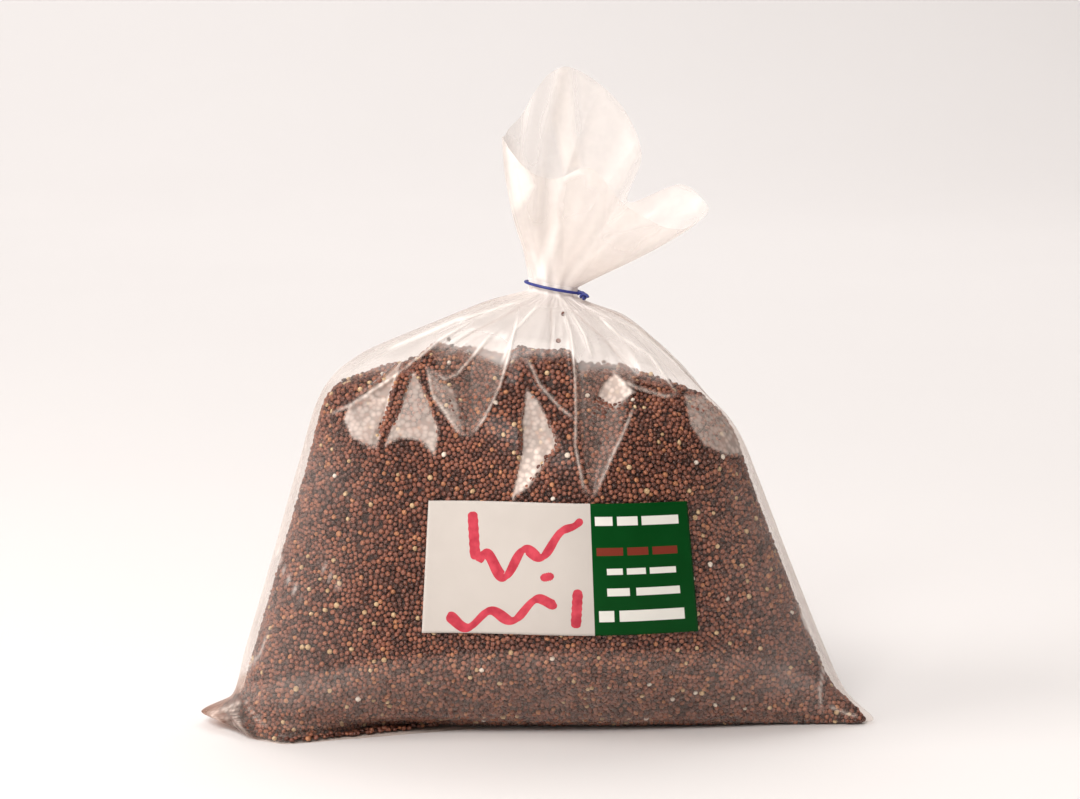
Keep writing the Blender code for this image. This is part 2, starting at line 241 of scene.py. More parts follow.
def near_line(x, z, points):
    """Distance to a line of points, and how far along it the nearest place is, from 0 to 1."""
    points = np.asarray(points, dtype=float)
    steps = np.hypot(*np.diff(points, axis=0).T)
    reached = np.concatenate([[0.0], np.cumsum(steps)]) / steps.sum()
    nearest = np.full(x.shape, np.inf)
    place = np.zeros(x.shape)
    for k, ((x0, z0), (x1, z1)) in enumerate(zip(points, points[1:])):
        along = np.clip(((x - x0) * (x1 - x0) + (z - z0) * (z1 - z0)) / steps[k] ** 2, 0.0, 1.0)
        away = np.hypot(x - x0 - along * (x1 - x0), z - z0 - along * (z1 - z0))
        closer = away < nearest
        nearest = np.where(closer, away, nearest)
        place = np.where(closer, reached[k] + along * (reached[k + 1] - reached[k]), place)
    return nearest, place


def fold_height(x, z, folds):
    """Folds stand out of the film as sharp ridges: height falls with the 1.3 power of the part of
    the fold's half width that is left, and each end tapers over a fifth of the line."""
    height = np.zeros_like(x)
    for points, most, width in folds.values():
        away, place = near_line(x, z, points)
        taper = ramp(place, -0.02, 0.2) * (1.0 - ramp(place, 0.8, 1.02))
        height += most * np.clip(1.0 - away / width, 0.0, 1.0) ** 1.3 * taper
    return height


def fold_lines(x, z, folds, way):
    """1 on the crease of each fold that stands out (way 1) or in (way -1), falling straight to 0
    at LINE_HALF from it, weaker for a lower fold."""
    lines = np.zeros_like(x)
    for points, most, _ in folds.values():
        if most * way > 0:
            away, place = near_line(x, z, points)
            taper = ramp(place, -0.02, 0.15) * (1.0 - ramp(place, 0.85, 1.02))
            lines = np.maximum(lines, min(abs(most), 1.0) * np.clip(1.0 - away / LINE_HALF, 0.0, 1.0) * taper)
    return lines


def inside_pane(x, z, corners):
    """1 inside a pane and 0 outside, with a narrow bevel between."""
    return ramp(inside_polygon(x, z, corners), -0.3 * PANE_EDGE, 0.7 * PANE_EDGE)


def pocket_depth(x, z, pocket):
    """A pocket is a V-shaped hollow: its depth falls with the 1.3 power of the way from its middle
    to its two folds, which part upwards from the tip as the 0.7 power of the height."""
    (tip_x, tip_z), (top_x, top_z), width, most, _ = pocket
    along = (z - tip_z) / (top_z - tip_z)
    half = width * np.clip(along, 0.02, 1.0) ** 0.7
    across = np.abs(x - tip_x - (top_x - tip_x) * along) / half
    rise = np.clip(along * 2.2, 0.0, 1.0) * (1.0 - ramp(along, 0.9, 1.35))
    return most * np.clip(1.0 - across**1.3, 0.0, 1.0) * rise * (along > 0)


def pressed_in(x, y, z, inset=0.0):
    """The front with its panes and pockets: inside a pane y is that of the pane's plane, and the
    pockets' depths are added. The fill, which lies inset behind, only ever gives way to a pane."""
    for corners, place, slopes_up, _ in PANES.values():
        if place is None:
            continue
        plane = place[1] + inset + slopes_up[0] * (x - place[0]) + slopes_up[1] * (z - place[2])
        if inset > 0.0:
            plane = np.maximum(plane, y)
        y = y + (plane - y) * inside_pane(x, z, corners)
    for pocket in POCKETS.values():
        y = y + pocket_depth(x, z, pocket)
    return y


def film_shape(angle, level):
    """The film: the bag's form with pleats as a sum of four cosines above the fill and one that
    draws it in at the neck, the panes and pockets pressed into its front, and folds standing out
    of front and back. In millimetres."""
    x, y, z, half = section_shape(angle, level)
    middle = x - half * np.sin(angle)
    tented = rising(level, "chest", "tent")
    tented = tented * (1.0 - rising(level, "tent_top", "neck_low"))
    wave = np.cos(PLEATS * angle + 0.8) + 0.6 * np.cos((PLEATS - 4) * angle + 2.1)
    crinkle = 0.35 * np.cos(2 * PLEATS * angle + 3 * level) + 0.2 * np.cos(4.6 * PLEATS * angle - 2 * level)
    push = 1.0 + tented * (PLEAT_HEIGHT * wave + crinkle) / np.maximum(half, PLEAT_RADIUS)
    gathered = rising(level, "tent_top", "gather")
    tuck = 0.5 + 0.5 * np.cos((PLEATS - 2) * angle + 0.9 * np.sin(3 * angle))
    push = push - gathered * GATHER_DEPTH * tuck
    x = middle + (x - middle) * push
    y = y * push
    facing = ramp(np.cos(angle), 0.0, 0.3)
    behind = ramp(-np.cos(angle), 0.0, 0.3)
    free = 1.0 - ramp(level, LEVEL["gather"] - 0.8, LEVEL["neck_low"])
    y = y + facing * free * (pressed_in(x, y, z) - y - fold_height(x, z, FOLDS))
    y = y + behind * free * fold_height(x, z, BACK_FOLDS)
    return np.stack([x, y, z], axis=-1)


def grid_faces(rows, columns, closed):
    """Quads of a grid of points numbered row by row, joined round from last to first if closed."""
    here = np.arange(rows * columns).reshape(rows, columns)
    right = np.roll(here, -1, axis=1)
    if not closed:
        here, right = here[:, :-1], right[:, :-1]
    return np.stack([here[:-1], right[:-1], right[1:], here[1:]], axis=-1).reshape(-1, 4)


def make_piece(name, points, faces, material, slot_name):
    """A mesh object at the origin from points in millimetres and lists of faces."""
    mesh = bpy.data.meshes.new(name)
    mesh.from_pydata((np.asarray(points) * MM).tolist(), [], faces)
    mesh.materials.append(material)
    mesh.shade_smooth()
    mesh.update()
    piece = bpy.data.objects.new(name, mesh)
    bpy.context.scene.collection.objects.link(piece)
    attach(piece, "root")
    return piece


def ring_faces(rows, columns, foot, crown):
    """Faces of closed rings, with a fan to the point numbered foot or crown at either end."""
    faces = grid_faces(rows, columns, True).tolist()
    first, last = np.arange(columns), (rows - 1) * columns + np.arange(columns)
    if foot is not None:
        faces += np.stack([np.full(columns, foot), np.roll(first, -1), first], axis=-1).tolist()
    if crown is not None:
        faces += np.stack([np.full(columns, crown), last, np.roll(last, -1)], axis=-1).tolist()
    return faces


def new_material(name):
    """An empty node material, with its tree and output."""
    material = bpy.data.materials.new(name)
    material.use_nodes = True
    tree = material.node_tree
    tree.nodes.clear()
    output = tree.nodes.new("ShaderNodeOutputMaterial")
    return material, tree, output


def node(tree, kind, inputs=None, **settings):
    """A node with its settings, and its inputs set from a value or linked from a socket."""
    made = tree.nodes.new(kind)
    for key, value in settings.items():
        setattr(made, key, value)
    for key, value in (inputs or {}).items():
        if isinstance(value, bpy.types.NodeSocket):
            tree.links.new(value, made.inputs[key])
        else:
            made.inputs[key].default_value = value
    return made


def noise(tree, place, scale, detail):
    """Fractal noise from 0 to 1 at a place, with scale cells to the metre."""
    inputs = {"Vector": place, "Scale": scale, "Detail": detail}
    return node(tree, "ShaderNodeTexNoise", inputs).outputs["Fac"]


def maths(tree, operation, *values):
    """One step of arithmetic on plain values or sockets."""
    return node(tree, "ShaderNodeMath", dict(enumerate(values)), operation=operation).outputs[0]


def between(tree, value, low, high, start, end):
    """start where the value is low, end where it is high, straight between, and level beyond."""
    return node(tree, "ShaderNodeMapRange", {0: value, 1: low, 2: high, 3: start, 4: end}).outputs[0]


def blend(tree, share, first, second):
    """The first colour where the share is 0 and the second where it is 1."""
    return node(tree, "ShaderNodeMix", {0: share, 6: first, 7: second}, data_type="RGBA").outputs[2]


def bumps(tree, height, strength, distance, under=None):
    """A normal bent by a height of up to distance metres, over another bump or none."""
    inputs = {"Height": height, "Strength": strength, "Distance": distance}
    if under is not None:
        inputs["Normal"] = under
    return node(tree, "ShaderNodeBump", inputs).outputs[0]


def object_place(tree):
    """The place on the object, in metres."""
    return node(tree, "ShaderNodeTexCoord").outputs["Object"]


def surface(name, build):
    """A material of one principled surface, whose inputs build(tree) gives by name."""
    material, tree, output = new_material(name)
    skin = node(tree, "ShaderNodeBsdfPrincipled", build(tree))
    tree.links.new(skin.outputs[0], output.inputs["Surface"])
    return material


def make_film_material():
    """Clear film: what is behind shows through a faint warm tint, deeper where the attribute
    "layers_and_shade" says that it lies in many layers or carries painted shade. More of the studio's
    light mirrors off it the flatter it is seen, and less where "press" says that seeds lie against it
    and dimple it. "haze_and_sheen" is the share that it scatters as a warm haze, in broad patches and
    less on the dimples; on the panes, pockets, fold crests and tuft facets it is painted reflection
    and painted highlight, and at the foot a painted bounce from the floor."""
    material, tree, output = new_material("clear_film")
    place = object_place(tree)
    press, layers_and_shade, haze_and_sheen = [
        node(tree, "ShaderNodeAttribute", attribute_name=name).outputs["Fac"]
        for name in ("press", "layers_and_shade", "haze_and_sheen")
    ]
    broad = noise(tree, place, 70.0, 3.0)
    seeds = node(tree, "ShaderNodeTexVoronoi", {"Vector": place, "Scale": 500.0}).outputs["Distance"]
    dent = maths(tree, "MULTIPLY", maths(tree, "POWER", seeds, 1.6), press)
    bent = bumps(tree, dent, 0.9, 0.00009, bumps(tree, broad, 0.12, 0.001))
    turned = node(tree, "ShaderNodeLayerWeight", {"Blend": 0.5, "Normal": bent}).outputs["Facing"]
    least_mirrored = between(tree, press, 0.0, 1.0, 0.036, 0.010)
    mirrored = maths(tree, "MULTIPLY_ADD", maths(tree, "POWER", turned, 4.0), 0.42, least_mirrored)
    tint = blend(tree, layers_and_shade, (0.985, 0.96, 0.942, 1), (0.56, 0.39, 0.32, 1))
    clear = node(tree, "ShaderNodeBsdfTransparent", {"Color": tint})
    shine = {"Color": (1.0, 0.96, 0.93, 1), "Roughness": 0.28, "Normal": bent}
    gloss = node(tree, "ShaderNodeBsdfGlossy", shine)
    sheet = node(tree, "ShaderNodeMixShader", {0: mirrored, 1: clear.outputs[0], 2: gloss.outputs[0]})
    patches = between(tree, broad, 0.3, 0.7, 0.75, 1.25)
    patchy = maths(tree, "MULTIPLY", patches, between(tree, dent, 0.0, 0.45, 1.25, 0.72))
    bloom = blend(tree, press, (0.93, 0.865, 0.82, 1), (0.97, 0.82, 0.73, 1))
    haze = node(tree, "ShaderNodeBsdfDiffuse", {"Color": bloom, "Normal": bent})
    haze_and_sheen_share = maths(tree, "MULTIPLY", haze_and_sheen, patchy)
    whole = node(tree, "ShaderNodeMixShader", {0: haze_and_sheen_share, 1: sheet.outputs[0], 2: haze.outputs[0]})
    tree.links.new(whole.outputs[0], output.inputs["Surface"])
    return material


def set_values(piece, name, values):
    """Put a value for each point on a film piece, which its material reads by the name."""
    layer = piece.data.attributes.new(name, "FLOAT", "POINT")
    layer.data.foreach_set("value", np.clip(values, 0.0, 1.0).ravel().astype(np.float32))


# The film's grid is finer in front and where the panes are. Its front columns lie between even
# steps of the angle and even steps across the width, and EVEN is the share of the first.
FRONT_COLUMNS, BACK_COLUMNS, EVEN = 430, 110, 0.35
FOOT_ROWS, FULL_ROWS, PANE_ROWS, NECK_ROWS = 26, 24, 114, 12

front_part = np.linspace(-1.0, 1.0, FRONT_COLUMNS, endpoint=False)
film_angles = np.concatenate(
    [
        EVEN * 0.5 * math.pi * front_part + (1.0 - EVEN) * np.arcsin(front_part),
        np.linspace(0.5 * math.pi, 1.5 * math.pi, BACK_COLUMNS, endpoint=False),
    ]
)
film_levels = np.concatenate(
    [
        np.linspace(0, LEVEL["belly"], FOOT_ROWS, endpoint=False),
        np.linspace(LEVEL["belly"], LEVEL["chest"], FULL_ROWS, endpoint=False),
        np.linspace(LEVEL["chest"], LEVEL["gather"], PANE_ROWS, endpoint=False),
        np.linspace(LEVEL["gather"], LEVEL["neck_high"], NECK_ROWS),
    ]
)
film_around, film_up = np.meshgrid(film_angles, film_levels)
film_grid = film_shape(film_around, film_up)
film_foot = film_grid[0].mean(axis=0)
film_points = np.concatenate([film_grid.reshape(-1, 3), film_foot[None]])
film_material = make_film_material()
film_body = make_piece(
    "film_body",
    film_points,
    ring_faces(len(film_levels), len(film_angles), len(film_points) - 1, None),
    film_material,
    "clear_film",
)
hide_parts("bag")


# The tuft: the open mouth of the bag above the tie. The same film fans out of the neck in three
# lobes, and creases run up it from the tie.
RIM = {
    "front_dip": (6.0, -13.0, 202.0),
    "front_curl": (19.0, -16.0, 206.0),
    "ear_root": (32.0, -14.0, 192.0),
    "ear_front": (50.0, -9.0, 183.5),
    "ear_tip": (61.5, -1.0, 190.0),
    "ear_back": (52.0, 7.0, 198.5),
    "saddle": (33.0, 9.0, 192.0),
    "petal_side": (38.0, 12.0, 209.0),
    "petal_shoulder": (32.0, 15.0, 225.0),
    "petal_top": (21.0, 16.0, 236.0),
    "petal_tip": (10.0, 14.0, 241.0),
    "petal_left": (1.5, 13.0, 235.0),
    "petal_root": (-6.0, 12.0, 223.0),
    "lobe_back": (-11.5, 5.0, 217.0),
    "lobe_tip": (-11.5, -5.0, 215.0),
    "lobe_front": (-4.5, -12.0, 206.0),
}
TUFT_SWELL, CREASES = 4.0, 5.5
TUFT_COLUMNS, TUFT_ROWS = 420, 90

# Where the tuft's film is folded double, painted whiter as painted highlights: corners (x, z) and how much.
TUFT_FACETS = {
    "lobe": (((-12, 216), (-8.8, 216), (-0.7, 199.7), (-3.7, 194), (-9.2, 188.5), (-12.5, 194), (-11.4, 207)),
             0.26),
    "petal": (((7.5, 241), (12.3, 241.5), (13.7, 221), (16.3, 203.9), (9.7, 202), (5.3, 221.8), (6, 234.4)),
              0.40),
    "wedge": (((-1.3, 165), (3.1, 165), (9, 185.7), (6.8, 190.4), (2.7, 180)), 0.34),
    "cheek": (((14, 240), (24, 233), (33, 221), (37, 208), (31, 196), (17, 199), (15.5, 220)), 0.12),
    "ear": (((20, 181), (40, 185), (58, 189), (60, 194), (50, 199), (33, 192)), 0.14),
}


def tuft_shape(angle, t):
    """Each column goes straight from the neck (t = 0) to its place on the rim (t = 1), bowed
    outwards by a sine of t, with creases as a sum of cosines of the angle that grow with t."""
    neck = film_shape(angle, np.full_like(angle, len(SECTIONS) - 1.0))
    turn = np.mod(angle / (2 * math.pi), 1.0)
    rim = smooth_between(list(RIM.values()), turn * len(RIM), closed=True)
    outward = np.stack([np.sin(angle), -np.cos(angle), np.zeros_like(angle)], axis=-1)
    swell = TUFT_SWELL * np.sin(math.pi * t) * (0.35 + 0.65 * t)
    crease = 0.8 * np.abs(np.cos(CREASES * angle + 1.5 * t)) + 0.25 * np.cos(17 * angle - 2 * t)
    crease = crease * ramp(t, 0.0, 0.45) * (1.0 - 0.3 * t)
    part = t[..., None]
    return neck * (1 - part) + rim * part + outward * (swell + crease)[..., None]


tuft_angles = np.linspace(0.0, 2 * math.pi, TUFT_COLUMNS, endpoint=False)
tuft_around, tuft_up = np.meshgrid(tuft_angles, np.linspace(0.0, 1.0, TUFT_ROWS))
tuft_grid = tuft_shape(tuft_around, tuft_up)
film_tuft = make_piece(
    "film_tuft",
    tuft_grid.reshape(-1, 3),
    ring_faces(TUFT_ROWS, TUFT_COLUMNS, None, None),
    film_material,
    "clear_film",
)
# How milky the tuft is: at least, more on its creases, more at the tie, and at most, with painted
# highlights on its facets. And how many layers deep it looks: everywhere and at the tie.
TUFT_MILK, CREASE_MILK, ROOT_MILK, MOST_MILK = 0.15, 0.10, 0.35, 0.85
TUFT_PLY, ROOT_PLY = 0.03, 0.2

tuft_x, tuft_z = tuft_grid[..., 0], tuft_grid[..., 2]
tuft_haze_and_sheen = TUFT_MILK + CREASE_MILK * np.cos(CREASES * tuft_around) ** 8 + ROOT_MILK * (1.0 - tuft_up) ** 2
# The facets' milk is a painted highlight.
for corners, painted_sheen in TUFT_FACETS.values():
    tuft_haze_and_sheen += painted_sheen * ramp(inside_polygon(tuft_x, tuft_z, corners), -1.2, 2.2)
set_values(film_tuft, "haze_and_sheen", np.minimum(tuft_haze_and_sheen, MOST_MILK))
set_values(film_tuft, "press", np.zeros_like(tuft_haze_and_sheen))
set_values(film_tuft, "layers_and_shade", ROOT_PLY * (1.0 - tuft_up) ** 3 + TUFT_PLY)
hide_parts("bag")


# The quinoa: small round flattened seeds that fill the bag to an uneven heap. They press against
# the film all round, leave the folded side edges of the bag empty, and lie loose on top.
HEAP = ((-80, 121), (-74.5, 125), (-62, 130), (-50, 132.5), (-44, 135), (-39, 138.5), (-34, 138.5),
        (-13, 134.5), (-6, 137), (11.5, 137), (14.5, 131.5), (26, 131.5), (36, 129), (47, 126.5), (60, 121.5),
        (72, 114), (80, 108))
SEED_DEPTH, PITCH = 1.1, 2.0

# A crevice down the front of the fill: its points (x, z), and its depth and half width.
CREVICE_LINE, CREVICE_DEPTH, CREVICE_HALF = ((15.5, 136), (16.0, 122), (16.5, 104)), 2.4, 2.4

# How far the fill stays back from the bag's left and right edges, against the level.
GAP_LEVELS = (-1.0, 0.0, 1.0, 1.7, 2.4, 3.0, 5.0, 6.0, 7.0)
GAP_LEFT = (1.0, 2.0, 7.0, 2.2, 2.4, 2.8, 2.8, 1.4, 0.4)
GAP_RIGHT = (1.0, 2.0, 2.5, 2.2, 3.2, 3.2, 2.8, 1.4, 0.4)


def heap_height(x, y):
    """Height of the heap: straight runs between its crests, with a slow ripple across it."""
    crest = np.interp(x, *np.array(HEAP, dtype=float).T)
    return crest + 0.5 * np.sin(0.35 * x + 0.2 * y) + 0.5 * np.cos(0.23 * y - 0.11 * x) - 0.03 * np.abs(y)


def fill_shape(angle, level, deeper=0.0):
    """The outside of the fill: the bag's form a seed's depth in, cut off above by the heap.

    Below level 0 and above the last section the ring shrinks to a point on the axis. The panes
    and pockets push the fill in as they do the film, and one crevice runs down its front. An
    exponential of the distance from the heap's height rounds the edge where the heap begins.
    """
    inset = SEED_DEPTH + deeper
    leftness = 0.5 - 0.5 * np.sin(angle)
    gap = leftness * np.interp(level, GAP_LEVELS, GAP_LEFT)
    gap = gap + (1 - leftness) * np.interp(level, GAP_LEVELS, GAP_RIGHT)
    x, y, z, half = section_shape(angle, level, inset, inset + gap)
    middle = x - half * np.sin(angle)
    facing = ramp(np.cos(angle), 0.0, 0.3)
    away, place = near_line(x, z, CREVICE_LINE)
    crevice = CREVICE_DEPTH * np.clip(1.0 - away / CREVICE_HALF, 0.0, 1.0) * (1.0 - ramp(place, 0.6, 1.0))
    y = y + facing * (pressed_in(x, y, z, inset) - y + crevice)
    close = np.clip(np.minimum(level + 1.0, len(SECTIONS) - level), 0.0, 1.0)
    x, y = middle + (x - middle) * close, y * close
    top = heap_height(x, y) - inset
    over = z - top
    z = top + np.minimum(over, 0.0) - 0.8 * np.exp(-np.abs(over) / 1.2)
    z = np.maximum(z, inset * 0.9)
    return np.stack([x, y, z], axis=-1)


def scattered(count, fine=3):
    """Random places on the fill, even over its area: cells of a grid are drawn by their area."""
    angles = np.linspace(0.0, 2 * math.pi, 360 * fine + 1)
    levels = np.linspace(-1.0, len(SECTIONS), 140 * fine + 1)
    grid = fill_shape(*np.meshgrid(angles, levels))
    along, up = np.diff(grid[:-1], axis=1), np.diff(grid[:, :-1], axis=0)
    area = np.linalg.norm(np.cross(along, up), axis=-1)
    cell = np.searchsorted(np.cumsum(area.ravel()) / area.sum(), rng.random(count))
    row, column = np.unravel_index(np.minimum(cell, area.size - 1), area.shape)
    angle = angles[column] + rng.random(count) * (angles[1] - angles[0])
    level = levels[row] + rng.random(count) * (levels[1] - levels[0])
    return angle, level, area.sum()


def slopes(angle, level, step=1e-3):
    """How the fill's surface moves with the angle and with the level, by central differences."""
    by_angle = (fill_shape(angle + step, level) - fill_shape(angle - step, level)) / (2 * step)
    by_level = (fill_shape(angle, level + step) - fill_shape(angle, level - step)) / (2 * step)
    return by_angle, by_level


SETTLE_SHARE, NEIGHBOURS, MOST_STEP = 0.32, 6, 0.1
SETTLE_ROUNDS = 12


def settle(angle, level, pitch, rounds):
    """Seeds closer than the pitch push each other apart along the surface, a little each round.

    The push is turned into steps of angle and level by the 2 x 2 normal equations of the slopes.
    """
    spacing = np.full(len(angle), pitch)
    for _ in range(rounds):
        places = fill_shape(angle, level)
        tree = kdtree.KDTree(len(places))
        for index, place in enumerate(places):
            tree.insert(place, index)
        tree.balance()
        found = [[index for _, index, _ in tree.find_n(place, NEIGHBOURS + 1)] for place in places]
        others = np.array(found)[:, 1:]
        away = places[:, None] - places[others]
        gap = np.linalg.norm(away, axis=-1) + 1e-6
        spacing = gap[:, :4].mean(axis=1)
        push = ((np.clip(pitch - gap, 0.0, None) * SETTLE_SHARE / gap)[..., None] * away).sum(axis=1)
        u, v = slopes(angle, level)
        uu, uv, vv = (u * u).sum(-1), (u * v).sum(-1), (v * v).sum(-1)
        pu, pv = (push * u).sum(-1), (push * v).sum(-1)
        span = np.maximum(uu * vv - uv * uv, 1e-3)
        angle = angle + np.clip((pu * vv - pv * uv) / span, -MOST_STEP, MOST_STEP)
        level = level + np.clip((pv * uu - pu * uv) / span, -MOST_STEP, MOST_STEP)
        level = np.clip(level, -0.99, len(SECTIONS) - 0.01)
    return angle, level, spacing


# A seed's rings: radius and height, as parts of its own radius and half thickness.
SEED_SIDES = 7
SEED_RINGS = ((0.74, 0.72), (1.0, 0.08), (0.74, -0.70))

# Its tilt off the film in radians, the share of seeds on edge and their tilt, how much its two
# widths vary, and its half thickness against its radius.
TILT, ON_EDGE, EDGE_TILT = math.radians(26), 0.10, (0.8, 1.5)
UNEVEN, FLATNESS = 0.09, (0.64, 0.84)


def seed_shape():
    """One seed of unit radius and half thickness: a lens turned about Z, blunt at its rim."""
    turn = np.arange(SEED_SIDES) * 2 * math.pi / SEED_SIDES
    rings = [
        np.stack([wide * np.cos(turn), wide * np.sin(turn), np.full(SEED_SIDES, high)], axis=-1)
        for wide, high in SEED_RINGS
    ]
    points = np.concatenate(rings + [[[0.0, 0.0, 1.0]], [[0.0, 0.0, -1.0]]])
    top, bottom = len(points) - 2, len(points) - 1
    quads = grid_faces(len(SEED_RINGS), SEED_SIDES, True)[:, ::-1]
    first = np.arange(SEED_SIDES)
    last = first + (len(SEED_RINGS) - 1) * SEED_SIDES
    caps = np.concatenate(
        [
            np.stack([np.full(SEED_SIDES, top), first, np.roll(first, -1)], axis=-1),
            np.stack([np.full(SEED_SIDES, bottom), np.roll(last, -1), last], axis=-1),
        ]
    )
    return points, quads, caps


def unit(vectors):
    """Vectors scaled to length one."""
    return vectors / np.maximum(np.linalg.norm(vectors, axis=-1, keepdims=True), 1e-9)


def make_seeds(name, places, normals, radius, material):
    """Seeds of one kind as one mesh: each is the seed shape, scaled, with its flat side turned to
    the film and then tilted by a random angle, most a little and some right on edge."""
    count = len(places)
    points, quads, caps = seed_shape()
    tilt = np.abs(rng.normal(0.0, TILT, count))
    tilt = np.where(rng.random(count) < ON_EDGE, rng.uniform(*EDGE_TILT, count), tilt)
    side = unit(np.cross(normals, rng.normal(size=(count, 3))))
    third = np.cross(normals, side)
    axis = normals * np.cos(tilt)[:, None] + side * np.sin(tilt)[:, None]
    side = side * np.cos(tilt)[:, None] - normals * np.sin(tilt)[:, None]
    stretch = radius[:, None] * (1.0 + rng.uniform(-UNEVEN, UNEVEN, (count, 3)))
    stretch[:, 2] = radius * rng.uniform(*FLATNESS, count)
    frame_axes = np.stack([side, third, axis], axis=1) * stretch[..., None]
    all_points = places[:, None] + np.einsum("pk,nkd->npd", points, frame_axes)
    shift = np.arange(count)[:, None, None] * len(points)
    faces = (quads[None] + shift).reshape(-1, 4).tolist() + (caps[None] + shift).reshape(-1, 3).tolist()
    return make_piece(name, all_points.reshape(-1, 3), faces, material, "clear_film")


def make_seed_material(name, dark, light, roughness):
    """Seed skin: its tone wanders between two browns from one seed to the next, with a waxy sheen
    and a finely pitted surface, rougher where the noise of the pits is high."""

    def build(tree):
        place = object_place(tree)
        tone = between(tree, noise(tree, place, 520.0, 1.0), 0.34, 0.66, 0.0, 1.0)
        pits = noise(tree, place, 2600.0, 2.0)
        return {
            "Base Color": blend(tree, tone, dark, light),
            "Roughness": between(tree, pits, 0.0, 1.0, roughness - 0.08, roughness + 0.1),
            "Normal": bumps(tree, pits, 0.3, 0.00012),
        }

    return surface(name, build)


# Kinds of seed: their share, their darker and lighter colour, and roughness. The commoner ones
# are split into two pieces each to keep a piece small.
SEED_KINDS = {
    "seeds_dark_a": (0.17, (0.045, 0.017, 0.013, 1), (0.130, 0.046, 0.030, 1), 0.34),
    "seeds_dark_b": (0.18, (0.075, 0.027, 0.019, 1), (0.170, 0.060, 0.039, 1), 0.36),
    "seeds_brown_a": (0.19, (0.150, 0.051, 0.032, 1), (0.270, 0.097, 0.059, 1), 0.40),
    "seeds_brown_b": (0.20, (0.170, 0.060, 0.040, 1), (0.310, 0.116, 0.074, 1), 0.40),
    "seeds_russet": (0.19, (0.230, 0.080, 0.045, 1), (0.380, 0.145, 0.082, 1), 0.40),
    "seeds_orange": (0.045, (0.340, 0.130, 0.060, 1), (0.520, 0.235, 0.115, 1), 0.42),
    "seeds_pale": (0.021, (0.48, 0.31, 0.16, 1), (0.70, 0.52, 0.31, 1), 0.45),
    "seeds_white": (0.004, (0.76, 0.66, 0.54, 1), (0.86, 0.80, 0.72, 1), 0.45),
}

# Single seeds that cling to the inside of the film above the heap, by x and z from the front.
CLINGING = ((-32.2, 143.6), (9.3, 153.0), (7.6, 144.0), (8.6, 140.6), (-26.5, 141.0), (41.0, 131.5))

# Area of fill for each seed, as a part of the pitch squared, and the pitch that they settle for.
SEED_AREA, SETTLED_PITCH = 0.86, PITCH * 1.12

# How unevenly deep the seeds lie and how far the top ones rise, as widths of their normal draws;
# a seed's radius against its gap to its neighbours; and its least and most.
DEPTH_SPREAD, RISE_SPREAD = 0.28, 0.6
RADIUS_SHARE, RADIUS_RANGE = 0.54, (0.88, 1.14)
CLING_RADIUS, LEAST_HEIGHT = 0.95, 1.15

_, _, fill_area = scattered(10)
seed_count = int(fill_area / (PITCH**2 * SEED_AREA))
seed_angle, seed_level, _ = scattered(seed_count)
seed_angle, seed_level, seed_gap = settle(seed_angle, seed_level, SETTLED_PITCH, SETTLE_ROUNDS)
seed_places = fill_shape(seed_angle, seed_level)
seed_out = unit(np.cross(*slopes(seed_angle, seed_level)))
seed_places = seed_places - seed_out * (np.abs(rng.normal(0.0, DEPTH_SPREAD, seed_count)) - 0.1)[:, None]
seed_places[:, 2] += np.abs(rng.normal(0.0, RISE_SPREAD, seed_count)) * ramp(seed_out[:, 2], 0.5, 0.9)
seed_radius = np.clip(seed_gap * RADIUS_SHARE, *RADIUS_RANGE) * rng.uniform(0.9, 1.06, seed_count)
front_skin = film_grid[:, :FRONT_COLUMNS].reshape(-1, 3)
for cling_x, cling_z in CLINGING:
    touched = front_skin[np.hypot(front_skin[:, 0] - cling_x, front_skin[:, 2] - cling_z).argmin()]
    seed_places = np.append(seed_places, [touched + (0.0, 0.9, 0.0)], axis=0)
    seed_out = np.append(seed_out, [(0.0, -1.0, 0.0)], axis=0)
    seed_radius = np.append(seed_radius, CLING_RADIUS)
seed_places[:, 2] = np.maximum(seed_places[:, 2], LEAST_HEIGHT)
drawn = rng.random(len(seed_places))
start = 0.0
for kind, (share, dark, light, roughness) in SEED_KINDS.items():
    chosen = (drawn >= start) & (drawn < start + share)
    start += share
    skin = make_seed_material(kind, dark, light, roughness)
    seeds = make_seeds(kind, seed_places[chosen], seed_out[chosen], seed_radius[chosen], skin)
    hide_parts("bag")
    print(kind, int(chosen.sum()), "seeds,", len(seeds.data.polygons), "faces")


# The heart of the fill: the seeds behind the outer ones, one body with seed-sized relief, painted
# dark as painted shade.
CORE_COLUMNS, CORE_ROWS = 300, 200


def shadowed_seeds(tree):
    """Cells of a seed's size in red-browns darkened by painted shade, with deep gaps between them
    painted darkest as painted shade.
    """
    cells = node(tree, "ShaderNodeTexVoronoi", {"Vector": object_place(tree), "Scale": 480.0})
    crown = between(tree, cells.outputs["Distance"], 0.1, 0.75, 1.0, 0.0)
    return {
        "Base Color": blend(tree, crown, (0.022, 0.010, 0.008, 1), (0.110, 0.042, 0.028, 1)),
        "Roughness": 0.7,
        "Normal": bumps(tree, crown, 0.8, 0.001),
    }


core_angles = np.linspace(0.0, 2 * math.pi, CORE_COLUMNS, endpoint=False)
core_levels = np.linspace(-0.95, len(SECTIONS) - 0.05, CORE_ROWS)
core_grid = fill_shape(*np.meshgrid(core_angles, core_levels), deeper=0.6)
core_ends = np.stack([core_grid[0].mean(axis=0), core_grid[-1].mean(axis=0)])
core_points = np.concatenate([core_grid.reshape(-1, 3), core_ends])
fill_heart = make_piece(
    "fill_heart",
    core_points,
    ring_faces(CORE_ROWS, CORE_COLUMNS, len(core_points) - 2, len(core_points) - 1),
    surface("fill_heart", shadowed_seeds),
    "clear_film",
)
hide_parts("bag")
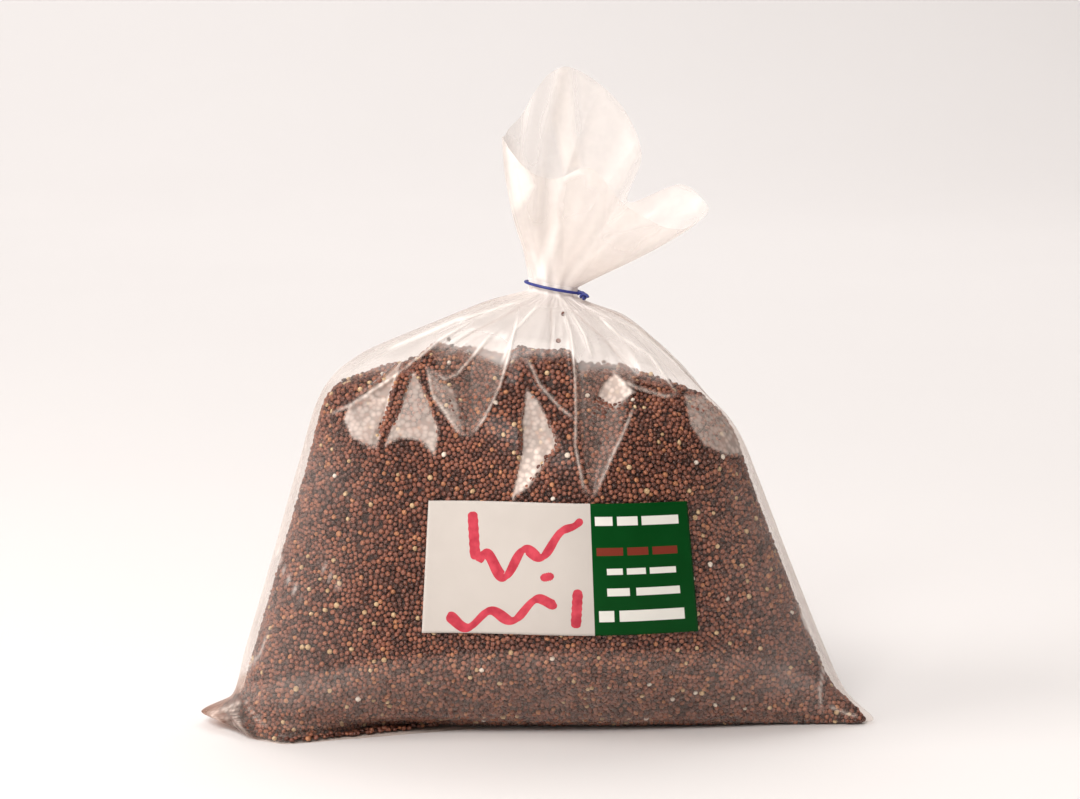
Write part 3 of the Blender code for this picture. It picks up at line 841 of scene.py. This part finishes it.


# The film's looks, now that the seeds are in place. Where they press on it, it goes clear. Where it
# stands free of them, is folded, or is drawn in at the neck, it scatters light and looks milky, and
# where it is drawn in or folded in layers it is also darker. Painted light is added on top: the panes
# and pockets carry a painted reflection, the crests of the folds painted highlights, the foot a
# painted bounce from the floor, and the grooves and the pocket floor painted shade.
CLEAR_MILK, FREE_MILK, FOLD_CREST_HIGHLIGHT, NECK_MILK, FOOT_HAZE_AND_BOUNCE, SIDE_MILK = 0.006, 0.13, 0.42, 0.55, 0.075, 0.16
EAR_MILK, SIDE_PLY, TENT_PLY, GROOVE_SHADE = 0.15, 0.07, 0.12, 0.25
FOOT_BOUNCE_EDGE = ((-118, -6), (-118, 14), (-92, 24), (-60, 31), (-20, 36), (20, 38), (57, 34.3), (73, 32.4),
             (87, 27), (101, 20), (118, 5), (118, -6))

clearance = np.linalg.norm(film_grid - fill_shape(film_around, film_up), axis=-1)
film_x, film_z = film_grid[..., 0], film_grid[..., 2]
film_front = ramp(np.cos(film_around), 0.0, 0.3)
film_haze_and_sheen = CLEAR_MILK + FREE_MILK * ramp(clearance, 1.8, 5.5) * ramp(film_z, 4.0, 30.0)
# The panes' milk is a painted reflection of the soft front light.
for corners, _, _, painted_sheen in PANES.values():
    film_haze_and_sheen += film_front * painted_sheen * inside_pane(film_x, film_z, corners)
# A pocket's milk is haze with a dim painted reflection of the surround.
for pocket in POCKETS.values():
    film_haze_and_sheen += film_front * pocket[4] * ramp(pocket_depth(film_x, film_z, pocket), 0.0, 1.0)
# Bright lines on the crests of the standing folds are painted highlights.
film_haze_and_sheen += film_front * FOLD_CREST_HIGHLIGHT * fold_lines(film_x, film_z, FOLDS, 1)
film_haze_and_sheen += EAR_MILK * film_front * (1.0 - ramp(film_x, -113.0, -106.0)) * (1.0 - ramp(film_z, 8.0, 14.0))
# The lower front is made lighter: haze of the film and a painted bounce of light from the floor.
film_haze_and_sheen += film_front * FOOT_HAZE_AND_BOUNCE * ramp(inside_polygon(film_x, film_z, FOOT_BOUNCE_EDGE), -1.5, 2.5)
film_haze_and_sheen += NECK_MILK * rising(film_up, "tent_top", "neck_low")
filled = (1.0 - rising(film_up, "chest", "tent")) * rising(film_up, "ear", "belly")
film_side = filled * (1.0 - ramp(np.abs(np.cos(film_around)), 0.08, 0.34))
film_haze_and_sheen += SIDE_MILK * film_side
film_layers_and_shade = SIDE_PLY * film_side
film_layers_and_shade += TENT_PLY * rising(film_up, "tent", "gather")
# Darker lines along the grooves are painted shade.
film_layers_and_shade += film_front * GROOVE_SHADE * fold_lines(film_x, film_z, FOLDS, -1)
for corners, shade in SHADES.values():
    film_layers_and_shade += shade * ramp(inside_polygon(film_x, film_z, corners), -1.0, 1.5)
set_values(film_body, "haze_and_sheen", np.append(film_haze_and_sheen.ravel(), CLEAR_MILK))
set_values(film_body, "layers_and_shade", np.append(film_layers_and_shade.ravel(), 0.0))

# Seeds press where they lie within a few millimetres of the film, and all over the foot.
film_press = np.maximum(1.0 - ramp(clearance, 2.0, 5.0), 1.0 - ramp(film_z, 10.0, 20.0))
set_values(film_body, "press", np.append(film_press.ravel(), 1.0))


# The tie: one plastic-coated wire, bent once round the gathered neck, its two ends twisted.
WIRE_RADIUS, WIRE_SIDES, WIRE_GAP = 0.55, 12, 0.45
TIE_HEIGHT, TWIST_ANGLE, TWIST_LENGTH, TWIST_RADIUS, TWIST_TURNS = 162.7, 72.0, 4.5, 0.85, 1.0
TWIST_WAY = (0.42, -0.88, -0.2)


def tie_path(ring_steps=150, twist_steps=50):
    """The wire's route: a helix out along the twist, once round the neck on a tilted ellipse, and
    back along the twist half a turn apart."""
    neck = np.array(SECTIONS["neck_low"])
    reach = WIRE_GAP + WIRE_RADIUS
    middle_x, half_x = 0.5 * (neck[3] + neck[4]), 0.5 * (neck[4] - neck[3]) + reach
    half_y, rise = neck[6] + reach, neck[1]
    open_half = math.asin(TWIST_RADIUS / half_x) * 1.9
    start = math.radians(TWIST_ANGLE)
    turns = np.linspace(start + open_half, start + 2 * math.pi - open_half, ring_steps)
    ring_x = middle_x + half_x * np.sin(turns)
    ring = np.stack([ring_x, -half_y * np.cos(turns), TIE_HEIGHT + rise * ring_x], axis=-1)
    way = np.array(TWIST_WAY) / np.linalg.norm(TWIST_WAY)
    side = np.cross(way, (0.0, 0.0, 1.0))
    side /= np.linalg.norm(side)
    over = np.cross(side, way)
    root = 0.5 * (ring[0] + ring[-1]) + 1.1 * way
    if np.dot(ring[0] - ring[-1], side) < 0:
        side, over = -side, -over
    t = np.linspace(0.0, 1.0, twist_steps)[:, None]
    strands = []
    for phase in (0.0, math.pi):
        turn = phase + 2 * math.pi * TWIST_TURNS * t
        spread = TWIST_RADIUS * (np.cos(turn) * side + np.sin(turn) * over)
        strands.append(root + way * TWIST_LENGTH * t + spread)
    return np.concatenate([strands[0][::-1], ring, strands[1]])


def tube(path, radius, sides):
    """A round tube along a path: at each point a circle across the path's direction, laid out
    from the level direction across it and the one square to both. Its ends are closed."""
    way = unit(np.gradient(path, axis=0))
    side = unit(np.cross(way, (0.0, 0.0, 1.0)))
    over = np.cross(side, way)
    turn = np.arange(sides) * 2 * math.pi / sides
    circle = np.cos(turn)[None, :, None] * side[:, None] + np.sin(turn)[None, :, None] * over[:, None]
    rings = path[:, None] + radius * circle
    points = np.concatenate([rings.reshape(-1, 3), path[:1], path[-1:]])
    return points, ring_faces(len(path), sides, len(points) - 2, len(points) - 1)


def blue_coat(tree):
    """Blue coating with a soft sheen, rubbed paler in patches."""
    rub = noise(tree, object_place(tree), 900.0, 3.0)
    return {
        "Base Color": blend(tree, rub, (0.012, 0.018, 0.15, 1), (0.045, 0.06, 0.28, 1)),
        "Roughness": 0.38,
        "Normal": bumps(tree, rub, 0.3, 0.0002),
    }


wire = tube(tie_path(), WIRE_RADIUS, WIRE_SIDES)
neck_tie = make_piece("neck_tie", *wire, surface("tie_wire", blue_coat), "tie_wire")
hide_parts("tie")


# The sticker: coated paper, part white and part green, pressed on the front of the film. It
# follows the film's broad curve, which has no folds there.
LABEL_WIDTH, LABEL_HEIGHT = 95.5, 47.0
LABEL_LEFT, LABEL_RIGHT = (-41.3, -38.8), (57.6, 53.2)
LABEL_RISE, LABEL_BOW = (42.0, 89.0), 1.4
LABEL_GAP, LABEL_PAPER = 0.45, 0.2
LABEL_CELLS = (96, 48)


def label_base(u, v):
    """Where a place on the sticker, given by its parts of the width and height, is in x and z: its
    ends lean in upwards by straight runs, and a parabola lifts its middle."""
    left = LABEL_LEFT[0] + (LABEL_LEFT[1] - LABEL_LEFT[0]) * v
    right = LABEL_RIGHT[0] + (LABEL_RIGHT[1] - LABEL_RIGHT[0]) * v
    z = LABEL_RISE[0] + (LABEL_RISE[1] - LABEL_RISE[0]) * v + LABEL_BOW * (1.0 - (2.0 * u - 1.0) ** 2)
    return left + (right - left) * u, z


film_tree = BVHTree.FromPolygons(
    [vertex.co for vertex in film_body.data.vertices],
    [polygon.vertices for polygon in film_body.data.polygons],
)
label_u, label_v = np.meshgrid(*[np.linspace(0, 1, cells + 1) for cells in LABEL_CELLS])
label_x, label_z = label_base(label_u, label_v)
hits = [
    film_tree.ray_cast(Vector((x, -200.0, z)) * MM, Vector((0.0, 1.0, 0.0)))[0].y / MM
    for x, z in zip(label_x.ravel(), label_z.ravel())
]
label_y = np.array(hits).reshape(label_x.shape) - LABEL_GAP


def label_point(u, v, lift):
    """A place on the sticker's face, lifted off it: its y is read between the grid's points."""
    x, z = label_base(u, v)
    column = np.clip(u * LABEL_CELLS[0], 0, LABEL_CELLS[0] - 1e-6)
    row = np.clip(v * LABEL_CELLS[1], 0, LABEL_CELLS[1] - 1e-6)
    i, j = column.astype(int), row.astype(int)
    s, t = column - i, row - j
    lower = label_y[j, i] * (1 - s) + label_y[j, i + 1] * s
    upper = label_y[j + 1, i] * (1 - s) + label_y[j + 1, i + 1] * s
    return np.stack([x, lower * (1 - t) + upper * t - lift, z], axis=-1)


BAR_INPUTS = ("U", "V", "Middle U", "Middle V", "Half U", "Half V")
BAR_SHARPNESS = 900.0


def bar_group():
    """A mask that is 1 inside an upright bar and 0 outside, from its middle and half sizes: the
    lesser of the margins left at its sides and at its ends, sharpened."""
    tree = bpy.data.node_groups.new("printed_bar", "ShaderNodeTree")
    for name in BAR_INPUTS:
        tree.interface.new_socket(name, in_out="INPUT", socket_type="NodeSocketFloat")
    tree.interface.new_socket("Mask", in_out="OUTPUT", socket_type="NodeSocketFloat")
    given = node(tree, "NodeGroupInput").outputs
    margins = []
    for way in ("U", "V"):
        off = maths(tree, "SUBTRACT", given[way], given["Middle " + way])
        margins.append(maths(tree, "SUBTRACT", given["Half " + way], maths(tree, "ABSOLUTE", off)))
    least = maths(tree, "MINIMUM", *margins)
    sharp = node(tree, "ShaderNodeMath", {0: least, 1: BAR_SHARPNESS}, operation="MULTIPLY", use_clamp=True)
    out = node(tree, "NodeGroupOutput")
    tree.links.new(sharp.outputs[0], out.inputs["Mask"])
    return tree


# Fields of print, as middle and half size in parts of the sticker's width and height.
GREEN_FIELD = (0.8175, 0.5, 0.195, 0.52)
WHITE_BARS = ((0.672, 0.868, 0.034, 0.034), (0.762, 0.868, 0.040, 0.034), (0.888, 0.868, 0.072, 0.034),
              (0.705, 0.490, 0.030, 0.024), (0.785, 0.490, 0.036, 0.024), (0.885, 0.490, 0.050, 0.024),
              (0.715, 0.335, 0.042, 0.030), (0.862, 0.335, 0.082, 0.030),
              (0.668, 0.150, 0.028, 0.044), (0.834, 0.150, 0.120, 0.044))
RED_BARS = ((0.690, 0.640, 0.050, 0.030), (0.795, 0.640, 0.040, 0.030), (0.898, 0.640, 0.048, 0.030))


def printed_paper(tree):
    """Coated paper printed with a green field and plain bars on its white, under a light gloss."""
    print_place = node(tree, "ShaderNodeUVMap", uv_map="print").outputs[0]
    across = node(tree, "ShaderNodeSeparateXYZ", {0: print_place})
    group = bar_group()
    place = object_place(tree)
    mottle = noise(tree, place, 90.0, 4.0)

    def printed(under, bars, colour):
        for bar in bars:
            given = dict(zip(BAR_INPUTS, (across.outputs["X"], across.outputs["Y"], *bar)))
            mask = node(tree, "ShaderNodeGroup", given, node_tree=group)
            under = blend(tree, mask.outputs[0], under, colour)
        return under

    paper = blend(tree, mottle, (0.53, 0.482, 0.44, 1), (0.583, 0.532, 0.488, 1))
    green = blend(tree, mottle, (0.001, 0.046, 0.006, 1), (0.002, 0.062, 0.010, 1))
    colour = printed(paper, (GREEN_FIELD,), green)
    colour = printed(colour, WHITE_BARS, (0.80, 0.78, 0.72, 1))
    colour = printed(colour, RED_BARS, (0.20, 0.035, 0.02, 1))
    bent = bumps(tree, noise(tree, place, 1500.0, 2.0), 0.1, 0.0001, bumps(tree, mottle, 0.2, 0.0008))
    return {
        "Base Color": colour,
        "Roughness": between(tree, mottle, 0.0, 1.0, 0.28, 0.42),
        "Normal": bent,
        "Specular IOR Level": 0.06,
    }


label_points = label_point(label_u, label_v, 0.0).reshape(-1, 3)
sticker = make_piece(
    "sticker",
    label_points,
    grid_faces(LABEL_CELLS[1] + 1, LABEL_CELLS[0] + 1, False).tolist(),
    surface("label_print", printed_paper),
    "label_paper",
)
corner_of = np.zeros(len(sticker.data.loops), dtype=np.int32)
sticker.data.loops.foreach_get("vertex_index", corner_of)
print_map = sticker.data.uv_layers.new(name="print")
print_map.data.foreach_set("uv", np.stack([label_u.ravel(), label_v.ravel()], axis=-1)[corner_of].ravel())
thickness = sticker.modifiers.new("paper", "SOLIDIFY")
thickness.thickness = LABEL_PAPER * MM
thickness.offset = 1.0
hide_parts("label")


# The marker: two rows of wavy lines drawn by hand with a broad red felt pen on the white field.
NIB, NIB_ANGLE = 3.7, math.radians(35)
INK_LIFT, INK_CROWN = 0.03, 0.02
STROKES = {
    "upper_mark": lambda s: (0.172 + 0.016 * s, 0.92 - 0.36 * s),
    "upper_wave": lambda s: (0.20 + 0.39 * s, 0.50 + 0.40 * s**2 + 0.10 * np.sin(17 * s + 0.4) * (1.15 - s)),
    "upper_tick": lambda s: (0.43 + 0.05 * s, 0.435 + 0.025 * s),
    "lower_wave": lambda s: (0.09 + 0.40 * s, 0.09 + 0.20 * s**2 + 0.055 * np.sin(15.0 * s + 2.0)),
    "lower_mark": lambda s: (0.555 + 0.012 * s, 0.06 + 0.30 * s),
}
STROKE_STEPS, BAND_POINTS = 160, 5


def stroke_band(route):
    """A pen line: each step's width grows with how far it runs across the nib's edge, and it
    narrows at both ends as a circle does. BAND_POINTS points lie across the line."""
    s = np.linspace(0.0, 1.0, STROKE_STEPS)
    u, v = route(s)
    run_x, run_z = np.gradient(u) * LABEL_WIDTH, np.gradient(v) * LABEL_HEIGHT
    length = np.hypot(run_x, run_z)
    across_x, across_z = -run_z / length, run_x / length
    slant = np.abs(np.sin(np.arctan2(run_z, run_x) - NIB_ANGLE))
    travelled = np.cumsum(length)
    ends = np.minimum(travelled, travelled[-1] - travelled) / (0.5 * NIB)
    rounding = np.sqrt(np.clip(1 - (1 - np.clip(ends, 0, 1)) ** 2, 0.01, 1))
    half = 0.5 * NIB * (0.62 + 0.45 * slant + 0.05 * np.sin(40 * s)) * rounding
    places = []
    for side in np.linspace(-1.0, 1.0, BAND_POINTS):
        at_u = u + side * half * across_x / LABEL_WIDTH
        at_v = v + side * half * across_z / LABEL_HEIGHT
        places.append(label_point(at_u, at_v, LABEL_PAPER + INK_LIFT + INK_CROWN * (1 - side**2)))
    return np.stack(places, axis=1)


def red_ink(tree):
    """Red felt-pen ink, darker where it pooled and thin enough elsewhere to look rosy."""
    thin = between(tree, noise(tree, object_place(tree), 260.0, 4.0), 0.35, 0.65, 0.0, 1.0)
    return {
        "Base Color": blend(tree, thin, (0.42, 0.012, 0.035, 1), (0.60, 0.045, 0.075, 1)),
        "Roughness": 0.45,
    }


bands = [stroke_band(route).reshape(-1, 3) for route in STROKES.values()]
band_faces = grid_faces(STROKE_STEPS, BAND_POINTS, False)[:, ::-1]
ink = make_piece(
    "marker_lines",
    np.concatenate(bands),
    np.concatenate([band_faces + k * len(band) for k, band in enumerate(bands)]).tolist(),
    surface("marker_ink", red_ink),
    "label_paper",
)
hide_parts("label")


# The studio: a pale floor that runs up into a pale wall, a soft light high in front, one at the
# left, one on the wall behind, and a pale surround. The surround is darker in front and at the
# right, so that the film stays clear there.
FLOOR_HALF, WALL_Y, WALL_TURN, WALL_TOP = 6.0, 4.2, 2.0, 5.0
FLOOR_DROP = 0.0002


def matt_board(tree):
    """Warm white board with a faint broad mottle."""
    mottle = noise(tree, object_place(tree), 3.0, 2.0)
    colour = blend(tree, mottle, (0.83, 0.80, 0.785, 1), (0.85, 0.82, 0.805, 1))
    return {"Base Color": colour, "Roughness": 0.8, "Specular IOR Level": 0.1}


def make_floor():
    """A sheet that is flat to the wall, turns up on a quarter circle and then stands upright."""
    turn = np.linspace(0.0, 0.5 * math.pi, 24)
    y = np.concatenate([[-FLOOR_HALF], WALL_Y - WALL_TURN + WALL_TURN * np.sin(turn), [WALL_Y]])
    z = np.concatenate([[0.0], WALL_TURN * (1 - np.cos(turn)), [WALL_TOP]]) - FLOOR_DROP
    points = np.array([(x, back, up) for back, up in zip(y, z) for x in (-FLOOR_HALF, FLOOR_HALF)])
    mesh = bpy.data.meshes.new("studio_floor")
    mesh.from_pydata(points.tolist(), [], grid_faces(len(y), 2, False).tolist())
    mesh.materials.append(surface("studio_floor", matt_board))
    mesh.shade_smooth()
    floor = bpy.data.objects.new("studio_floor", mesh)
    bpy.context.scene.collection.objects.link(floor)


def aim(item, place, target):
    """Put a camera or light at a place and point its -Z at a target."""
    item.location = place
    item.rotation_euler = (Vector(target) - Vector(place)).to_track_quat("-Z", "Y").to_euler()


def add_light(name, place, target, width, height, power, colour, mirrored):
    """A rectangular soft light, which shiny things mirror or don't."""
    lamp = bpy.data.lights.new(name, "AREA")
    lamp.shape = "RECTANGLE"
    lamp.size = width
    lamp.size_y = height
    lamp.energy = power
    lamp.color = colour
    item = bpy.data.objects.new(name, lamp)
    bpy.context.scene.collection.objects.link(item)
    item.visible_glossy = mirrored
    aim(item, place, target)


def make_surround():
    """Light from all round: pale behind and at the left, dim in front and at the right. The camera
    sees it as one plain colour."""
    world = bpy.data.worlds.new("surround")
    bpy.context.scene.world = world
    world.use_nodes = True
    tree = world.node_tree
    tree.nodes.clear()
    outward = node(tree, "ShaderNodeTexCoord").outputs["Generated"]
    way = node(tree, "ShaderNodeSeparateXYZ", {0: outward})
    behind = between(tree, way.outputs["Y"], -0.35, 0.35, 0.0, 1.0)
    left = between(tree, way.outputs["X"], -0.8, 0.3, 1.0, 0.0)
    right = between(tree, way.outputs["X"], 0.1, 0.8, 1.0, 0.28)
    share = maths(tree, "MULTIPLY", maths(tree, "MAXIMUM", behind, left), right)
    light = blend(tree, share, (0.06, 0.055, 0.05, 1), (0.78, 0.755, 0.74, 1))
    seen = node(tree, "ShaderNodeLightPath").outputs["Is Camera Ray"]
    colour = blend(tree, seen, light, (0.90, 0.83, 0.80, 1))
    sky = node(tree, "ShaderNodeBackground", {"Color": colour, "Strength": 1.0})
    output = node(tree, "ShaderNodeOutputWorld")
    tree.links.new(sky.outputs[0], output.inputs["Surface"])


make_floor()
make_surround()
WARM, PALE, BAG_MIDDLE = (1.0, 0.97, 0.945), (1.0, 0.98, 0.975), (0.0, 0.0, 0.08)
add_light("soft_front", (-0.35, -1.05, 1.05), BAG_MIDDLE, 0.66, 0.40, 13.8, WARM, True)
add_light("soft_left", (-1.6, -0.5, 1.0), BAG_MIDDLE, 0.8, 0.8, 16.0, WARM, False)
add_light("soft_back", (-0.5, 2.2, 2.2), (-0.4, 2.4, 0.0), 5.0, 2.2, 57.0, PALE, False)

# The camera: a long lens a metre away from the bag and a little above it, with its lens and target
# set so that the bag lies in the frame as it does in the photograph.
CAMERA_TARGET = (0.0009, 0.0, 0.120)
CAMERA_DISTANCE, CAMERA_RISE = 1.0, math.radians(9)
SENSOR, LENS = 36.0, 90.7
camera_data = bpy.data.cameras.new("camera")
camera_data.sensor_width = SENSOR
camera_data.lens = LENS
camera = bpy.data.objects.new("camera", camera_data)
bpy.context.scene.collection.objects.link(camera)
camera_way = Vector((0.0, -math.cos(CAMERA_RISE), math.sin(CAMERA_RISE)))
aim(camera, Vector(CAMERA_TARGET) + CAMERA_DISTANCE * camera_way, CAMERA_TARGET)
bpy.context.scene.camera = camera
bpy.context.scene.view_settings.view_transform = "Standard"
bpy.context.scene.cycles.transparent_max_bounces = 32
